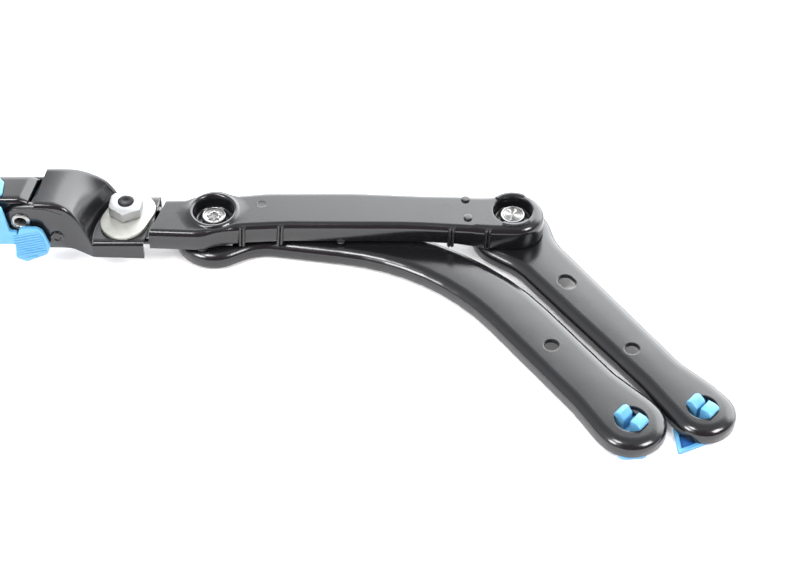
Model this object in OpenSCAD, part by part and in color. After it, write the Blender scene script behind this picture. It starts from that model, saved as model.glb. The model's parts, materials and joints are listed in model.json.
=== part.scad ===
// Folding linkage arm of pressed steel: a mounting foot, a tail channel with a fold pin,
// a saddle bracket clamped on a tongue, a riveted channel arm and two dog-leg links.
// Millimetres, +Z up. The origin is the centre of the foot's two bolt holes, on its lower
// face, +X runs along the arm towards the linkage, and Z = 0 is the surface it lies on.

/* [Arm layout] */
// Distance from the foot's bolt line to the front pivot
reach = 190; // [180:1:230]
// Distance between the two link pivots on the channel arm
pivot_spacing = 150; // [148:0.5:154]
// Sideways offset of the link pivots from the foot's centre line
pivot_offset = 5; // [4:0.5:6]

/* [Channel arm] */
// Height of the channel's top face
channel_top = 23.5; // [23:0.5:25]
// Sheet thickness of the channel and the saddle
sheet = 2.5; // [2:0.1:2.8]
// Radius inside the pressed cups that hold the pivot rivets
cup_radius = 10; // [9:0.25:10.5]

/* [Links] */
// Height of a link's flat top
link_top = 10; // [9.8:0.1:10.2]
// Sheet thickness of the links
link_sheet = 2.2; // [1.8:0.1:2.6]
// Width of each link's rolled top edge
link_bullnose = 3; // [2:0.25:3.5]
// Diameter of the free holes in the links
link_hole = 7; // [5:0.5:8]

/* [Pivots] */
// Rivet shank diameter
rivet_d = 8; // [7:0.5:8.5]
// Radial running clearance of the pins in their bushes
running_gap = 0.05; // [0.02:0.01:0.1]

/* [Saddle and clamp] */
// Clamp stud thread diameter
stud_d = 10; // [8:0.5:10]
// Nut width across flats
nut_flats = 16; // [15:0.5:17]
// Nut height
nut_height = 6.6; // [6:0.1:8]
// Height of the saddle's clamped flat
clamp_top = 20.6; // [20.2:0.1:21]
// Height of the saddle's raised end
hump_top = 44; // [43:0.5:46]
// Length of the adjusting slot in the tongue
slot_length = 17; // [16:0.5:18]

/* [Tail and foot] */
// Height of the fold pin
fold_z = 34; // [33.5:0.5:34.5]
// Fold pin diameter
fold_pin_d = 8; // [7:0.5:9]
// Distance between the foot's bolt holes
foot_spacing = 38; // [36:1:44]
// Diameter of the foot's bolt holes
foot_hole = 8.5; // [6:0.5:9]

/* [Hidden] */

$fn = 64;
front_pivot = [0, 0];
rear_pivot = [pivot_spacing, 0.5];
front_peg = [201.2, -125.6];
rear_peg = [235.2, -118.3];
front_hole_at = [166.2, -79];
rear_hole_at = [204.8, -81.3];
rear_slot_at = [175.9, -36.7];
rear_slot_size = [9.8, 7.6];
rear_slot_angle = -54.5;
front_peg_r = 7.5;
rear_peg_r = 7;
peg_angle = -43;
front_peg_gap = 3.4;
rear_peg_gap = 1.6;
locating_points = [[126.4, 7.8], [127.4, -5.4]];
locating_r = 2.15;
// Crimps on the front flange, at its outer face
crimps = [[14.5, -12.3], [33.5, -11], [119, -12.7], [137, -14.1]];
channel_skirt = 12.5;
cup_rim = 1;
cup_rim_w = 2.6;
link_bottom = 2;
cup_floor_top = 16.5;
cup_floor = cup_floor_top - sheet;
cup_wall = 2.3;
bush_flange = 0.9;
bush_wall = 1.5;
face_gap = 0.05;
rivet_r = rivet_d / 2;
bush_bore_r = rivet_r + running_gap;
bush_r = bush_bore_r + bush_wall;
washer_bottom = link_top + bush_flange + face_gap;
tongue_end_sheet = 2;
tongue_end_low = cup_floor - face_gap - tongue_end_sheet;
collar_top = link_top - link_sheet - face_gap;
clamp_at = [-43.6, 0.6];
washer_at = [-42.7, -2.3];
washer_size = [33, 23.5];
washer_angle = 68;
washer_thick = 2.2;
nut_angle = 24;
nut_base = clamp_top + washer_thick;
stud_top = nut_base + nut_height + 0.6;
stud_head = 15;
stud_gap = 0.3;
tongue_front = -13.2;
tongue_back = 8.2;
tongue_inner_back = 6.4;
tongue_thick = 4;
tongue_skirt_ends = [-56, -20];
tongue_skirt_thick = 2;
tongue_top = clamp_top - sheet - face_gap;
fold_x = -93.3;
fold_r = fold_pin_d / 2;
tail_half = 9.5;
tail_sheet = 2.2;
tail_top = 43;
tail_bottom = 24;
ear_out = 13.2;
ear_in = 10.4;
ear_r = 8;
stop_at = [-76.5, 23.5];
stop_r = 2.6;
stop_back = 15.9;
foot_plate = 4;
foot_rivet_x = 6;
foot_rivet_r = 3;

// ---- Outline helpers ----

// Angle of a vector
function heading(v) = atan2(v[1], v[0]);

// Signed turn from one direction to the next, between -180 and 180 degrees
function turn(a, b) = let (d = b - a) d > 180 ? d - 360 : d < -180 ? d + 360 : d;

// Points of the arc that rounds corner b of the path a, b, c with radius r
function corner_arc(a, b, c, r, steps) =
    let (
        h1 = heading([b[0] - a[0], b[1] - a[1]]),
        h2 = heading([c[0] - b[0], c[1] - b[1]]),
        t = turn(h1, h2),
        side = t < 0 ? -1 : 1,
        back = r * tan(abs(t) / 2),
        start = [b[0] - back * cos(h1), b[1] - back * sin(h1)],
        centre = [start[0] - side * r * sin(h1), start[1] + side * r * cos(h1)]
    )
    [for (i = [0 : steps])
        let (h = h1 + t * i / steps)
        [centre[0] + side * r * sin(h), centre[1] - side * r * cos(h)]];

// Closed outline through corners given as [x, y, radius]
function rounded(corners, steps = 8) =
    let (n = len(corners))
    [for (i = [0 : n - 1])
        for (p = corner_arc(corners[(i + n - 1) % n], corners[i], corners[(i + 1) % n],
                            corners[i][2], steps))
            p];

// The same corners moved inwards by d: each side keeps its direction
function inset(corners, d) =
    let (n = len(corners))
    [for (i = [0 : n - 1])
        let (
            a = corners[(i + n - 1) % n],
            b = corners[i],
            c = corners[(i + 1) % n],
            h1 = heading([b[0] - a[0], b[1] - a[1]]),
            h2 = heading([c[0] - b[0], c[1] - b[1]]),
            t = turn(h1, h2),
            k = d / cos(t / 2),
            m = h1 + t / 2 + 90,
            r = t > 0 ? b[2] - d : b[2] + d
        )
        [b[0] + k * cos(m), b[1] + k * sin(m), max(r, 0.2)]];

// Corners, counter-clockwise, as [x, y, radius]
front_link_corners = [
    [-19.5, -19.5, 19.4], [4.9, -19.5, 19.4], [22.3, -10.2, 22], [109.5, -23.8, 110],
    [174.4, -114.5, 25], [184.5, -131.9, 20], [197.6, -149.4, 17], [225, -129.2, 17],
    [212.3, -112, 20], [196, -95, 25], [131.4, -4.4, 146], [26, 13.6, 25],
    [10, 19.5, 19], [-19.5, 19.5, 19.4]];
rear_link_corners = [
    [129.6, -10.1, 20.3], [151.7, -25.6, 40], [208.3, -103, 60], [220.6, -123, 30],
    [231.4, -140.9, 14.8], [257.8, -122.1, 14.8], [241.8, -101.6, 20],
    [228, -87.8, 25], [172.3, -6.1, 30], [166.6, 20.9, 20.3], [129.6, 20.9, 20.3]];
channel_corners = [
    [-31.4, -16.3, 0.5], [-7, -17.4, 16], [13, -12.4, 30], [34, -11, 200],
    [100, -11.3, 300], [140, -14.4, 60], [pivot_spacing + 15.8, -15.2, 14.2],
    [pivot_spacing + 15.8, 13.6, 13.2], [136, 11.6, 60], [104, 12.4, 300],
    [70, 14.4, 300], [26, 14.2, 60], [8, 12, 3], [0, 16.9, 12], [-10, 9.6, 3],
    [-23.6, 9.2, 0.5]];

// ---- Shared shapes ----

// Moves a piece from pivot coordinates to the part's frame
module at_pivots() {
    translate([reach, pivot_offset, 0]) children();
}

// A vertical cylinder between two heights
module post(at, r, z0, z1) {
    translate([at[0], at[1], z0]) cylinder(r = r, h = z1 - z0);
}

// A cylinder along Y between two places, in the XZ plane at x, z
module cross_pin(x, z, r, y0, y1) {
    translate([x, y1, z]) rotate([90, 0, 0]) cylinder(r = r, h = y1 - y0);
}

// A ring between two heights
module ring(at, r_out, r_in, z0, z1) {
    difference() {
        post(at, r_out, z0, z1);
        post(at, r_in, z0 - 1, z1 + 1);
    }
}

// A ring along Y
module cross_ring(x, z, r_out, r_in, y0, y1) {
    difference() {
        cross_pin(x, z, r_out, y0, y1);
        cross_pin(x, z, r_in, y0 - 1, y1 + 1);
    }
}

// A plate between two heights with the given outline
module plate(outline, z0, z1) {
    translate([0, 0, z0]) linear_extrude(height = z1 - z0) polygon(outline);
}

// A side profile in XZ, extruded between two places along Y
module side_plate(outline, y0, y1) {
    translate([0, y1, 0]) rotate([90, 0, 0]) linear_extrude(height = y1 - y0)
        polygon(outline);
}

// Two cylinders and a bar: a slot through z0 to z1, length measured end to end
module slot(at, length, width, angle, z0, z1) {
    half = (length - width) / 2;
    translate([at[0], at[1], 0]) rotate([0, 0, angle]) {
        post([-half, 0], width / 2, z0, z1);
        post([half, 0], width / 2, z0, z1);
        translate([-half, -width / 2, z0]) cube([2 * half, width, z1 - z0]);
    }
}

// A pressed link: rolled top edge in three steps, and a rim all round
module pan(corners) {
    b = link_bullnose;
    difference() {
        union() {
            plate(rounded(corners), link_bottom, link_top - b * 0.6);
            plate(rounded(inset(corners, b * 0.2)), link_bottom + 1, link_top - b * 0.25);
            plate(rounded(inset(corners, b * 0.55)), link_bottom + 1, link_top);
        }
        plate(rounded(inset(corners, link_sheet)), link_bottom - 1,
              link_top - link_sheet - b * 0.5);
        plate(rounded(inset(corners, link_sheet + b * 0.4)), link_bottom - 1,
              link_top - link_sheet);
    }
}

// ---- Foot and tail ----

module foot_bracket() color("#2b2c2e") {
    cheek_r = 6;
    cheek_y = tail_half + face_gap + sheet / 2;
    difference() {
        union() {
            plate(rounded([[-20, -30, 5], [20, -30, 5], [20, 30, 5], [-20, 30, 5]]),
                  0, foot_plate);
            for (s = [-1, 1])
                side_plate(
                    rounded([[-18, foot_plate - 1, 0.5], [18, foot_plate - 1, 0.5],
                             [13, tail_top - 4, cheek_r], [-13, tail_top - 4, cheek_r]]),
                    s * cheek_y - sheet / 2, s * cheek_y + sheet / 2);
        }
        for (s = [-1, 1])
            post([0, s * foot_spacing / 2], foot_hole / 2, -1, foot_plate + 1);
        for (x = [-foot_rivet_x, foot_rivet_x])
            cross_pin(x, fold_z, foot_rivet_r, -20, 20);
    }
}

module foot_rivets() color("#3a3b3d") {
    end = tail_half + face_gap + sheet;
    head = 1.8;
    for (x = [-foot_rivet_x, foot_rivet_x]) {
        cross_pin(x, fold_z, foot_rivet_r, -end, end);
        for (s = [-1, 1])
            cross_pin(x, fold_z, foot_rivet_r + 2, s > 0 ? end : -end - head,
                      s > 0 ? end + head : -end);
    }
}

module tail_channel() color("#1d1e20") {
    x0 = -14 - reach;
    nose = 9;
    translate([reach, 0, 0])
        difference() {
            side_plate(
                rounded([[x0, tail_bottom, 2], [fold_x + nose, tail_bottom, nose - 0.5],
                         [fold_x + nose, tail_top, 2.5], [x0, tail_top, 2]]),
                -tail_half, tail_half);
            translate([x0 - 1, -tail_half + tail_sheet, tail_bottom - 1])
                cube([-x0, 2 * (tail_half - tail_sheet), tail_top - tail_bottom + 1 - tail_sheet]);
            // The top plate stops short of the saddle, on a slant
            translate([fold_x + 4, 0, fold_z + 5.6]) rotate([0, 0, -27])
                translate([0, -30, 0]) cube([40, 60, 20]);
            for (s = [-1, 1])
                cross_pin(fold_x, fold_z, fold_r + running_gap + 1,
                          s > 0 ? 4 : -20, s > 0 ? 20 : -4);
            for (x = [-foot_rivet_x, foot_rivet_x])
                cross_pin(x - reach, fold_z, foot_rivet_r, -20, 20);
        }
}

module tail_bushes() color("#8d8f92") {
    bore = fold_r + running_gap;
    translate([reach, 0, 0])
        for (s = [-1, 1]) mirror([0, s > 0 ? 0 : 1, 0]) {
            cross_ring(fold_x, fold_z, bore + 1, bore, tail_half - tail_sheet, tail_half);
            cross_ring(fold_x, fold_z, 7.2, bore, tail_half, tail_half + 0.8);
        }
}

module tail_clip() color("#1f9bff") {
    wall = 2.4;
    front = -17;
    lift = tail_top + 0.2;
    floor_z = tail_bottom - 0.2;
    translate([reach, 0, 0]) {
        // Sleeve round the tail channel, open at the back above its lip
        difference() {
            translate([-150, front, floor_z - wall])
                cube([44, -front + 13, lift - floor_z + 2 * wall]);
            translate([-151, front + wall, floor_z])
                cube([46, -front + 10.6 - wall, lift - floor_z]);
            translate([-151, 4, floor_z + 8]) cube([46, 20, 40]);
        }
        // Hook over the top, slanted front edge, lower rail and thumb tab
        translate([-106.2, -8, lift]) cube([4.4, 13, wall]);
        side_plate([[-106.2, floor_z - wall], [-95, floor_z - wall + 1], [-95, 29.4],
                    [-98.6, 29.8], [-101, lift + wall], [-106.2, lift + wall]],
                   front, front + wall);
        side_plate(rounded([[-98.4, 27, 2], [-96.2, 13.2, 2], [-92, 10, 2],
                            [-82.6, 13.6, 2.5], [-80.2, 21, 2.5], [-84.6, 31.6, 2],
                            [-92, 33, 2]]),
                   front - 0.6, front + wall - 0.4);
    }
}

// ---- Saddle and clamp ----

// Saddle stations: front edge [x, y, z], middle [x, z], back edge [x, y, z], lower edge z
saddle_stations = [
    [[-86, -18, hump_top - 0.5], [-84, hump_top - 0.2], [-81.6, 9.8, hump_top + 0.3], 15.4],
    [[-76, -18, hump_top - 1], [-74.3, hump_top - 1], [-72, 10.9, hump_top - 0.9], 15.3],
    [[-71.5, -18.1, hump_top - 2.7], [-69.8, hump_top - 2.8], [-67.6, 11.8, hump_top - 2.3], 15.2],
    [[-68.4, -18.4, hump_top - 5.4], [-66.6, hump_top - 5.4], [-64, 12.5, hump_top - 4.1], 14.6],
    [[-65.8, -18.8, hump_top - 9.3], [-64, hump_top - 8.7], [-60.6, 13.1, hump_top - 6.2], 13.4],
    [[-63, -19.5, hump_top - 15], [-61.2, hump_top - 13.6], [-56.8, 13.7, hump_top - 9.1], 12.4],
    [[-60.8, -20.3, clamp_top + 3.6], [-59, clamp_top + 4.9], [-53.6, 14.1, hump_top - 12.4], 11.9],
    [[-59.4, -20.9, clamp_top + 0.7], [-57.8, clamp_top + 1.4], [-50.8, 14.3, clamp_top + 6.6], 11.7],
    [[-58.4, -21, clamp_top], [-57, clamp_top + 0.1], [-48.6, 14.4, clamp_top + 2], 11.6],
    [[-57.6, -21, clamp_top], [-56.3, clamp_top], [-46.6, 14.5, clamp_top], 11.5],
    [[-34, -21, clamp_top], [-31, clamp_top], [-27.4, 14.5, clamp_top], 10.6]];
saddle_fold = 3;

// Point of a station's top line, v from 0 at the front edge to 1 at the back edge
function saddle_top(s, v) =
    let (a = 2 * (v - 0.5) * (v - 1), m = -4 * v * (v - 1), c = 2 * v * (v - 0.5))
    [s[0][0] * a + s[1][0] * m + s[2][0] * c,
     s[0][1] + (s[2][1] - s[0][1]) * v,
     max(clamp_top, s[0][2] * a + s[1][1] * m + s[2][2] * c)];

// One side of a section: flange from the lower edge, then the fold, for the outer or inner face
function saddle_side(s, back, inner) =
    let (width = s[2][1] - s[0][1],
         edge = saddle_top(s, back ? 1 : 0),
         sign = back ? -1 : 1,
         y = edge[1] + (inner ? sign * sheet : 0),
         lay = inner ? [[sheet, sheet + 0.5], [sheet + 0.5, sheet]]
                     : [[0.3 * saddle_fold, 0.3 * saddle_fold], [saddle_fold, 0]])
    [[edge[0], y, s[3]], [edge[0], y, edge[2] - saddle_fold - (inner ? 1 : 0)],
     for (l = lay)
         let (p = saddle_top(s, back ? 1 - l[0] / width : l[0] / width)) [p[0], p[1], p[2] - l[1]]];

// A list from its end to its start
function reversed(list) = [for (i = [len(list) - 1 : -1 : 0]) list[i]];

// One U-shaped section: the outer points, then the inner points
function saddle_ring(s) =
    [for (inner = [false, true])
        for (p = concat(saddle_side(s, false, inner),
                        [for (v = [0.3, 0.5, 0.7])
                            saddle_top(s, v) - [0, 0, inner ? sheet : 0]],
                        reversed(saddle_side(s, true, inner))))
            p];

// A bent sheet lofted through rings that list the outer side, then the inner side
module loft(rings) {
    n = len(rings[0]) / 2;
    m = len(rings);
    k = 2 * n;
    strips = [for (j = [0 : m - 2]) for (i = [0 : n - 2]) for (side = [0, 1])
        let (a = j * k + side * n + i, c = a + k)
        for (f = side == 0 ? [[a, c, c + 1], [a, c + 1, a + 1]]
                           : [[a, c + 1, c], [a, a + 1, c + 1]])
            f];
    rims = [for (j = [0 : m - 2]) for (e = [0, 1])
        let (a = j * k + e * (n - 1), b = a + n, c = a + k, d = b + k)
        for (f = e == 0 ? [[a, b, d], [a, d, c]] : [[a, d, b], [a, c, d]])
            f];
    ends = [for (j = [0, m - 1]) for (i = [0 : n - 2])
        let (a = j * k + i, b = a + n)
        for (f = j == 0 ? [[a, a + 1, b + 1], [a, b + 1, b]]
                        : [[a, b + 1, a + 1], [a, b, b + 1]])
            f];
    polyhedron(points = [for (r = rings) for (p = r) p],
               faces = [for (f = concat(strips, rims, ends)) [f[0], f[2], f[1]]]);
}

module saddle_bracket() color("#1d1e20") {
    translate([reach, 0, 0])
        difference() {
            union() {
                translate([0, pivot_offset, 0]) loft([for (s = saddle_stations) saddle_ring(s)]);
                for (s = [-1, 1]) {
                    y0 = s > 0 ? ear_in : -ear_out;
                    y1 = s > 0 ? ear_out : -ear_in;
                    side_plate(rounded([[fold_x - ear_r, fold_z + ear_r, ear_r - 0.1],
                                        [fold_x - ear_r, fold_z - ear_r, ear_r - 0.1],
                                        [fold_x + 6, fold_z - ear_r, 4],
                                        [-82.5, 17, 6], [-76, 17, 0.5],
                                        [-76, fold_z + ear_r, 0.5]]),
                               y0, y1);
                }
            }
            cross_pin(fold_x, fold_z, fold_r, -20, 20);
            cross_pin(stop_at[0], stop_at[1], stop_r, -20, 20);
            post([clamp_at[0], clamp_at[1] + pivot_offset], stud_d / 2 + stud_gap, 5, 30);
        }
}

module fold_pin() color("#77797c") {
    translate([reach, 0, 0])
        difference() {
            union() {
                cross_pin(fold_x, fold_z, fold_r, -ear_out, ear_out);
                cross_pin(fold_x, fold_z, fold_r + 0.9, -ear_out - 1, -ear_out);
                cross_pin(fold_x, fold_z, fold_r + 0.9, ear_out, ear_out + 1);
            }
            cross_pin(fold_x, fold_z, fold_r - 1.2, -30, 30);
        }
}

module stop_pin() color("#2b2c2e") {
    head = 0.8;
    translate([reach, 0, 0]) {
        cross_pin(stop_at[0], stop_at[1], stop_r, -ear_out, stop_back);
        for (start = [-ear_out - head, stop_back])
            cross_pin(stop_at[0], stop_at[1], stop_r + 0.7, start, start + head);
    }
}

// Moves a piece to the clamp stud's axis
module at_clamp() {
    at_pivots() translate([clamp_at[0], clamp_at[1], 0]) children();
}

module clamp_stud() color("#9a9c9e") {
    head_top = tongue_top - tongue_thick - face_gap;
    at_clamp() {
        post([0, 0], stud_d / 2, head_top, stud_top);
        translate([-stud_head / 2, -stud_head / 2, head_top - 6])
            cube([stud_head, stud_head, 6]);
    }
}

module clamp_washer() color("#c9cbc8") {
    difference() {
        at_pivots() slot(washer_at, washer_size[0], washer_size[1], washer_angle,
                         clamp_top, nut_base);
        at_clamp() post([0, 0], stud_d / 2 + stud_gap, clamp_top - 1, nut_base + 1);
    }
}

module clamp_nut() color("#d8dadb") {
    corner_r = nut_flats / 2 / cos(30);
    at_clamp()
        difference() {
            translate([0, 0, nut_base])
                intersection() {
                    rotate([0, 0, nut_angle]) cylinder(r = corner_r, h = nut_height, $fn = 6);
                    cylinder(r1 = corner_r + 3, r2 = corner_r - 1.2, h = nut_height);
                }
            post([0, 0], stud_d / 2, nut_base - 1, nut_base + nut_height + 1);
        }
}

// ---- Channel arm ----

// Flat bar with the adjusting slot, cranked down to the sheet under the front cup
module tongue_bar() color("#8f9193") {
    low = tongue_end_low;
    slot_x = clamp_at[0] - 3;
    at_pivots()
        difference() {
            union() {
                plate(rounded([[-60.6, tongue_front, 5], [-27, tongue_front, 0.5],
                               [-27, tongue_back, 0.5], [-60.6, tongue_back, 6]]),
                      tongue_top - tongue_thick, tongue_top);
                side_plate([[-30, tongue_top - tongue_thick], [-27, tongue_top - tongue_thick],
                            [-17, low], [10, low], [10, low + tongue_end_sheet],
                            [-16, low + tongue_end_sheet], [-25, tongue_top], [-30, tongue_top]],
                           tongue_front, tongue_inner_back);
                // Front edge turned down, as deep as the channel's flange
                translate([tongue_skirt_ends[0], tongue_front, channel_skirt + 0.1])
                    cube([tongue_skirt_ends[1] - tongue_skirt_ends[0], tongue_skirt_thick,
                          tongue_top - 1 - channel_skirt]);
                // Round lug that hooks under the front flange
                post([-5.5, -13.6], 3.2, low - 0.4, channel_skirt - 0.1);
            }
            slot([slot_x, clamp_at[1]], slot_length, stud_d + 0.6, 0, 5, 25);
            post(front_pivot, rivet_r, 5, 25);
            post([10, 10], 11, 5, 25);
            // Relief inside the channel's front flange
            translate([-3, -13, low + 0.5]) rotate([0, 0, 14]) translate([0, -10, 0])
                cube([20, 10, 10]);
        }
}

module channel_arm() color("#1d1e20") {
    inner = inset(channel_corners, sheet);
    last = len(inner) - 1;
    // The cavity runs out through the left end, where the tongue enters
    cavity = [for (i = [0 : last]) i == 0 || i == last ? inner[i] - [15, 0, 0] : inner[i]];
    at_pivots()
        difference() {
            union() {
                difference() {
                    plate(rounded(channel_corners), channel_skirt, channel_top);
                    plate(rounded(cavity), channel_skirt - 1, channel_top - sheet);
                }
                for (p = [front_pivot, rear_pivot])
                    post(p, cup_radius + cup_wall, cup_floor, channel_top - 0.5);
                // Raised rim of the front cup, and the two lip arcs of the rear cup
                translate([0, 0, channel_top - 0.5])
                    ring(front_pivot, cup_radius + cup_rim_w, cup_radius, 0, cup_rim + 0.5);
                intersection() {
                    translate([0, 0, channel_top - 0.5])
                        ring(rear_pivot, cup_radius + cup_rim_w, cup_radius, 0, cup_rim + 0.5);
                    translate([rear_pivot[0] - 8, -30, 0]) cube([15, 60, 60]);
                }
                for (c = crimps)
                    translate([c[0] - 1.1, c[1] - 0.9, channel_skirt - 1]) cube([2.2, 2.4, 8]);
            }
            for (p = [front_pivot, rear_pivot]) {
                post(p, cup_radius, cup_floor_top, channel_top + 5);
                post(p, rivet_r, 5, channel_top);
            }
            for (p = locating_points)
                post(p, locating_r, 10, channel_top + 2);
        }
}

module channel_insert() color("#3a3b3d") {
    x0 = 16;
    x1 = 133;
    y0 = -7.6;
    y1 = 9.2;
    top = channel_top - sheet;
    thick = 1.5;
    at_pivots()
        difference() {
            union() {
                translate([x0, y0, top - thick]) cube([x1 - x0, y1 - y0, thick]);
                translate([x0, y0, 13]) cube([x1 - x0, thick, top - 13]);
                translate([x0, y1 - thick, 13]) cube([x1 - x0, thick, top - 13]);
                // Round lug that hooks under the front flange
                post([63.8, -9.9], 2, 11.4, channel_skirt - 0.1);
                translate([60.8, -10.6, 11.4]) cube([6, 4.5, channel_skirt - 0.1 - 11.4]);
                translate([60.8, y0, 11.4]) cube([6, thick, 2]);
            }
            for (p = locating_points)
                post(p, locating_r, 10, 30);
        }
}

module locating_rivets() color("#1d1e20") {
    at_pivots()
        for (p = locating_points)
            post(p, locating_r, channel_top - sheet - 2.2, channel_top + 0.6);
}

// ---- Pivots ----

// Solid rivet: head in the cup, shank, and a formed tail that reaches the rest surface
module pivot_rivet(at, recess_r) {
    head_r = 6;
    head_top = cup_floor_top + 4;
    at_pivots()
        difference() {
            union() {
                post(at, head_r, cup_floor_top, head_top);
                post(at, rivet_r, 2.5, cup_floor_top);
                post(at, rivet_r + 1.5, 0, 2.5);
            }
            post(at, recess_r, head_top - 2, head_top + 1);
        }
}

// Flanged bush pressed into a link
module pivot_bush(at) {
    at_pivots() {
        ring(at, bush_r, bush_bore_r, link_top - link_sheet, link_top);
        ring(at, 9, bush_bore_r, link_top, link_top + bush_flange);
    }
}

module front_pivot_rivet() color("#b9bbbd") pivot_rivet(front_pivot, 2.4);

module rear_pivot_rivet() color("#8f9193") pivot_rivet(rear_pivot, 1.2);

module front_pivot_bush() color("#a98b4a") pivot_bush(front_pivot);

module rear_pivot_bush() color("#a98b4a") pivot_bush(rear_pivot);

module front_pivot_washer() color("#b4b6b8") at_pivots()
    ring(front_pivot, 8.5, rivet_r, washer_bottom, tongue_end_low);

module rear_pivot_washer() color("#b4b6b8") at_pivots()
    ring(rear_pivot, 8.5, rivet_r, washer_bottom, cup_floor);

module front_rivet_collar() color("#8f9193") at_pivots()
    ring(front_pivot, 8, rivet_r, 2.5, collar_top);

module rear_rivet_collar() color("#8f9193") at_pivots()
    ring(rear_pivot, 8, rivet_r, 2.5, collar_top);

// ---- Links ----

module front_link() color("#1d1e20") at_pivots()
    difference() {
        pan(front_link_corners);
        post(front_pivot, bush_r, 0, 20);
        post(front_hole_at, link_hole / 2, 0, 20);
        post(front_peg, front_peg_r, 0, 20);
    }

module rear_link() color("#1d1e20") at_pivots()
    difference() {
        pan(rear_link_corners);
        post(rear_pivot, bush_r, 0, 20);
        post(rear_hole_at, link_hole / 2, 0, 20);
        slot(rear_slot_at, rear_slot_size[0], rear_slot_size[1], rear_slot_angle, 0, 20);
        post(rear_peg, rear_peg_r, 0, 20);
    }

// Split plastic peg: two prongs with lips that snap over the link
module split_peg(at, hole_r, gap, angle) {
    peg_r = hole_r - 0.2;
    top = link_top + 3.6;
    translate([at[0], at[1], 0]) rotate([0, 0, angle])
        difference() {
            union() {
                post([0, 0], peg_r, link_bottom - 0.6, link_top + 0.1);
                intersection() {
                    post([0, 0], peg_r + 0.5, link_top + face_gap, top);
                    translate([-peg_r - 1, -3.6, 0]) cube([2 * peg_r + 2, 7.2, 30]);
                }
            }
            translate([-gap / 2, -10, link_bottom + 2]) cube([gap, 20, 20]);
            for (s = [-1, 1])
                translate([-10, s > 0 ? 4.2 : -14.2, link_bottom + 1]) cube([20, 10, 20]);
        }
}

module front_link_clip() color("#1f9bff") at_pivots() {
    plate(rounded([[188, -128, 2], [196, -142.4, 3], [207, -141.6, 3], [214, -130, 3],
                   [200, -108, 3], [190, -114, 3]]), 0, link_bottom - face_gap);
    split_peg(front_peg, front_peg_r, front_peg_gap, peg_angle);
}

module rear_link_clip() color("#1f9bff") at_pivots() {
    plate(rounded([[222.7, -139.6, 1], [237, -133, 3], [247, -117, 4], [226, -88, 3],
                   [206, -95, 2], [221.5, -121.5, 2]]), 0, link_bottom - face_gap);
    split_peg(rear_peg, rear_peg_r, rear_peg_gap, peg_angle);
}

foot_bracket();
foot_rivets();
tail_channel();
tail_bushes();
tail_clip();
saddle_bracket();
fold_pin();
stop_pin();
clamp_stud();
clamp_washer();
clamp_nut();
tongue_bar();
channel_arm();
channel_insert();
locating_rivets();
front_pivot_rivet();
front_pivot_washer();
front_rivet_collar();
rear_pivot_rivet();
rear_pivot_washer();
rear_rivet_collar();
front_link();
front_pivot_bush();
front_link_clip();
rear_link();
rear_pivot_bush();
rear_link_clip();
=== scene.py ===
import json
import math

import bmesh
import bpy
from mathutils import Matrix, Vector
from mathutils.geometry import delaunay_2d_cdt


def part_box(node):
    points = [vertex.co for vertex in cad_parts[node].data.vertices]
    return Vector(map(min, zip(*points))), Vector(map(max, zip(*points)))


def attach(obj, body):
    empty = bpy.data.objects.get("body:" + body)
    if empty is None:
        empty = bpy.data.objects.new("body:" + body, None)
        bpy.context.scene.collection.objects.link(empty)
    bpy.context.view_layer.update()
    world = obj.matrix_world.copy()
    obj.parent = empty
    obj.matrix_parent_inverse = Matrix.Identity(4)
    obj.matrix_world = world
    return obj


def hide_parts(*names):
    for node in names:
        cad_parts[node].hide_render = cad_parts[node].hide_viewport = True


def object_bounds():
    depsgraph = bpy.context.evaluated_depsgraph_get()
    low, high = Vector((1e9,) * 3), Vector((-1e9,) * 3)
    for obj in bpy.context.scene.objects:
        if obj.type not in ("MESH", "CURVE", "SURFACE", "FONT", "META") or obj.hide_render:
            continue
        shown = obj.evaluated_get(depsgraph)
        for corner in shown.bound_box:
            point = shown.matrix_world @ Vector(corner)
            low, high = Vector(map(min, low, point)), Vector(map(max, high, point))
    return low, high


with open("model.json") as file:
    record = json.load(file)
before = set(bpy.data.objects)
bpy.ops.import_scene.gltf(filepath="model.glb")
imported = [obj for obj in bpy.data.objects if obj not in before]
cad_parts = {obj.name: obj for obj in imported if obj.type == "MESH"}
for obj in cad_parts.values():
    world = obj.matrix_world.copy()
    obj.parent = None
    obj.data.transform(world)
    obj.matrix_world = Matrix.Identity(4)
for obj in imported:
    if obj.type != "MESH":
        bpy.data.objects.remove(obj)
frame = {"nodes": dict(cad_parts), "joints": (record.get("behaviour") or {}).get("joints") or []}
cad_low, cad_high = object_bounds()

# Shapes below are written in millimetres and scaled to metres when a mesh is made.
MM = 0.001
PIVOT = {j["name"]: Vector(j["pos_m"]) / MM for j in frame["joints"] if "pos_m" in j}
FRONT = Vector(PIVOT["front_link_swing"][:2])
REAR = Vector(PIVOT["rear_link_swing"][:2])
FOLD = PIVOT["tail_fold"]
REACH = FRONT.x
OFFSET = FRONT.y

CHANNEL_TOP = 23.5
CHANNEL_SKIRT = 12.5
CHANNEL_SHEET = 2.5
LINK_TOP = 10.0
LINK_BOTTOM = 2.0
LINK_SHEET = 2.2
LINK_SHOULDER = 1.3
CUP_FLOOR = 16.5
CLAMP_TOP = 20.6


# ---- outlines

def bends(corners):
    """Each corner with the heading of the side before it and the turn at it."""
    for i, b in enumerate(corners):
        a, c = corners[i - 1], corners[(i + 1) % len(corners)]
        before = math.atan2(b[1] - a[1], b[0] - a[0])
        after = math.atan2(c[1] - b[1], c[0] - b[0])
        yield b, before, math.remainder(after - before, math.tau)


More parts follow.
